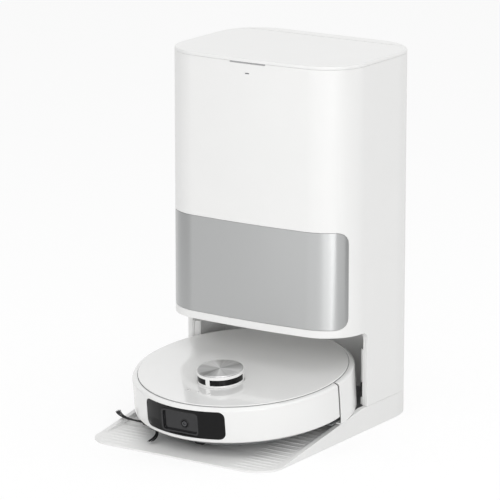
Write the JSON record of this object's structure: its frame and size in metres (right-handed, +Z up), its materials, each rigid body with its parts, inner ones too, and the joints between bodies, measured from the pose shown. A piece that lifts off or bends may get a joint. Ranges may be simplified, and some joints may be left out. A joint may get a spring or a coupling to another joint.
{
  "type": "robot vacuum",
  "caption": "Round robot vacuum and mop parked in a tall self-emptying, mop-washing base station with a hinged top lid and a satin silver front panel.",
  "frame": {"origin": "on the floor at the centre of the base station's footprint", "axes": "+Z up, -Y out of the open bay towards the user, +X to the right seen from the front"},
  "size_m": [0.3668, 0.457, 0.59],
  "materials": {
    "white_shell": "gloss",
    "tray_plastic": "satin",
    "silver_panel": "satin",
    "spun_disc": "spun",
    "black_gloss": "gloss",
    "black_plastic": "matte",
    "black_rubber": "matte",
    "grey_plastic": "matte",
    "tank_plastic": "gloss",
    "board": "matte",
    "battery_sleeve": "satin",
    "bag_fleece": "non-woven",
    "mop_cloth": "microfibre",
    "pin_steel": "turned"
  },
  "bodies": {
    "station": {"base_tray": "tray_plastic", "washboard": "grey_plastic", "foot_strip_left": "black_rubber", "foot_strip_right": "black_rubber", "tower_shell": "white_shell", "bay_liner": "white_shell", "rear_top_trim": "white_shell", "lid_hinge_pin": "pin_steel", "tank_deck": "grey_plastic", "clean_tank": "tank_plastic", "dirty_tank": "tank_plastic", "clean_tank_lid": "tank_plastic", "dirty_tank_lid": "tank_plastic", "dust_compartment": "grey_plastic", "dust_bag": "bag_fleece", "dust_motor": "grey_plastic", "control_board": "board", "power_inlet": "black_plastic", "status_light": "grey_plastic", "side_guide_left": "white_shell", "side_guide_right": "white_shell", "contact_block_left": "black_plastic", "contact_block_right": "black_plastic"},
    "station_lid": {"top_lid": "white_shell"},
    "panel": {"front_panel": "silver_panel"},
    "station_fan": {"dust_impeller": "black_plastic"},
    "robot": {"chassis": "grey_plastic", "rear_shell": "white_shell", "upper_deck": "grey_plastic", "turret_cage": "white_shell", "lidar_cap": "spun_disc", "dust_bin": "tank_plastic", "water_tank": "tank_plastic", "battery": "battery_sleeve", "suction_housing": "black_plastic", "side_brush_motor": "grey_plastic", "brush_guard": "grey_plastic"},
    "bumper_group": {"bumper": "white_shell", "camera_window": "black_gloss", "camera_block": "black_gloss", "camera_lens": "black_gloss"},
    "cover": {"top_cover": "white_shell"},
    "lidar": {"lidar_head": "black_gloss"},
    "power_key": {"power_button": "white_shell"},
    "dock_key": {"dock_button": "white_shell"},
    "spot_key": {"spot_button": "white_shell"},
    "arm_left": {"wheel_arm_left": "black_plastic"},
    "arm_right": {"wheel_arm_right": "black_plastic"},
    "drive_wheel_left": {"wheel_left": "black_rubber"},
    "drive_wheel_right": {"wheel_right": "black_rubber"},
    "caster": {"caster_fork": "black_plastic"},
    "caster_roller": {"caster_wheel": "black_plastic"},
    "roller_brush": {"main_brush": "black_rubber"},
    "side_brush": {"side_brush_hub": "black_rubber", "side_brush_bristles": "black_plastic"},
    "mop_left": {"mop_disc_left": "black_plastic", "mop_pad_left": "mop_cloth"},
    "mop_right": {"mop_disc_right": "black_plastic", "mop_pad_right": "mop_cloth"},
    "robot_fan": {"suction_impeller": "black_plastic"}
  },
  "joints": [
    {"name": "robot_drive_out", "type": "slide", "parent": "station", "child": "robot", "axis": [0, -1, 0], "range_m": [0, 0.4]},
    {"name": "lid_open", "type": "hinge", "parent": "station", "child": "station_lid", "pos_m": [0, 0.1995, 0.5873], "axis": [-1, 0, 0], "range_deg": [0, 80]},
    {"name": "panel_pull", "type": "slide", "parent": "station", "child": "panel", "axis": [0, -1, 0], "range_m": [0, 0.08]},
    {"name": "station_fan_spin", "type": "hinge", "parent": "station", "child": "station_fan", "pos_m": [0, 0.17, 0.23], "axis": [0, 0, 1], "continuous": true},
    {"name": "bumper_press", "type": "slide", "parent": "robot", "child": "bumper_group", "axis": [0, 0.9932, 0.1167], "range_m": [0, 0.003], "stiffness_N_per_m": 500, "springref_m": -0.006},
    {"name": "cover_lift", "type": "slide", "parent": "robot", "child": "cover", "axis": [0, -0.1167, 0.9932], "range_m": [0, 0.03]},
    {"name": "lidar_spin", "type": "hinge", "parent": "robot", "child": "lidar", "pos_m": [0, -0.09752, 0.09979], "axis": [0, -0.1167, 0.9932], "continuous": true},
    {"name": "power_press", "type": "slide", "parent": "robot", "child": "power_key", "axis": [0, 0.1167, -0.9932], "range_m": [0, 0.0006], "stiffness_N_per_m": 300, "springref_m": -0.001},
    {"name": "dock_press", "type": "slide", "parent": "robot", "child": "dock_key", "axis": [0, 0.1167, -0.9932], "range_m": [0, 0.0006], "stiffness_N_per_m": 300, "springref_m": -0.001},
    {"name": "spot_press", "type": "slide", "parent": "robot", "child": "spot_key", "axis": [0, 0.1167, -0.9932], "range_m": [0, 0.0006], "stiffness_N_per_m": 300, "springref_m": -0.001},
    {"name": "suspension_left", "type": "hinge", "parent": "robot", "child": "arm_left", "pos_m": [-0.092, 0.02348, 0.05893], "axis": [1, 0, 0], "range_deg": [-6, 0], "stiffness_Nm_per_rad": 2, "springref_deg": 17.19},
    {"name": "wheel_spin_left", "type": "hinge", "parent": "arm_left", "child": "drive_wheel_left", "pos_m": [-0.119, -0.02817, 0.05286], "axis": [1, 0, 0], "continuous": true},
    {"name": "suspension_right", "type": "hinge", "parent": "robot", "child": "arm_right", "pos_m": [0.092, 0.02348, 0.05893], "axis": [1, 0, 0], "range_deg": [-6, 0], "stiffness_Nm_per_rad": 2, "springref_deg": 17.19},
    {"name": "wheel_spin_right", "type": "hinge", "parent": "arm_right", "child": "drive_wheel_right", "pos_m": [0.119, -0.02817, 0.05286], "axis": [1, 0, 0], "continuous": true},
    {"name": "caster_swivel", "type": "hinge", "parent": "robot", "child": "caster", "pos_m": [0, -0.14866, 0.04142], "axis": [0, -0.1167, 0.9932], "continuous": true},
    {"name": "caster_roll", "type": "hinge", "parent": "caster", "child": "caster_roller", "pos_m": [0, -0.15115, 0.01979], "axis": [1, 0, 0], "continuous": true},
    {"name": "roller_brush_spin", "type": "hinge", "parent": "robot", "child": "roller_brush", "pos_m": [0, -0.07925, 0.04202], "axis": [1, 0, 0], "continuous": true},
    {"name": "side_brush_spin", "type": "hinge", "parent": "robot", "child": "side_brush", "pos_m": [-0.112, -0.13145, 0.01324], "axis": [0, -0.1167, 0.9932], "continuous": true},
    {"name": "mop_spin_left", "type": "hinge", "parent": "robot", "child": "mop_left", "pos_m": [-0.068, 0.05675, 0.03283], "axis": [0, -0.1167, 0.9932], "continuous": true},
    {"name": "mop_spin_right", "type": "hinge", "parent": "robot", "child": "mop_right", "pos_m": [0.068, 0.05675, 0.03283], "axis": [0, -0.1167, 0.9932], "continuous": true},
    {"name": "robot_fan_spin", "type": "hinge", "parent": "robot", "child": "robot_fan", "pos_m": [0.102, 0.05461, 0.05956], "axis": [0, -0.1167, 0.9932], "continuous": true}
  ],
  "couplings": [
    {"joint": "wheel_spin_left", "follows": "robot_drive_out", "rad_per_m": 28.571},
    {"joint": "wheel_spin_right", "follows": "robot_drive_out", "rad_per_m": 28.571},
    {"joint": "caster_roll", "follows": "robot_drive_out", "rad_per_m": 60.606},
    {"joint": "mop_spin_right", "follows": "mop_spin_left", "ratio": -1}
  ]
}
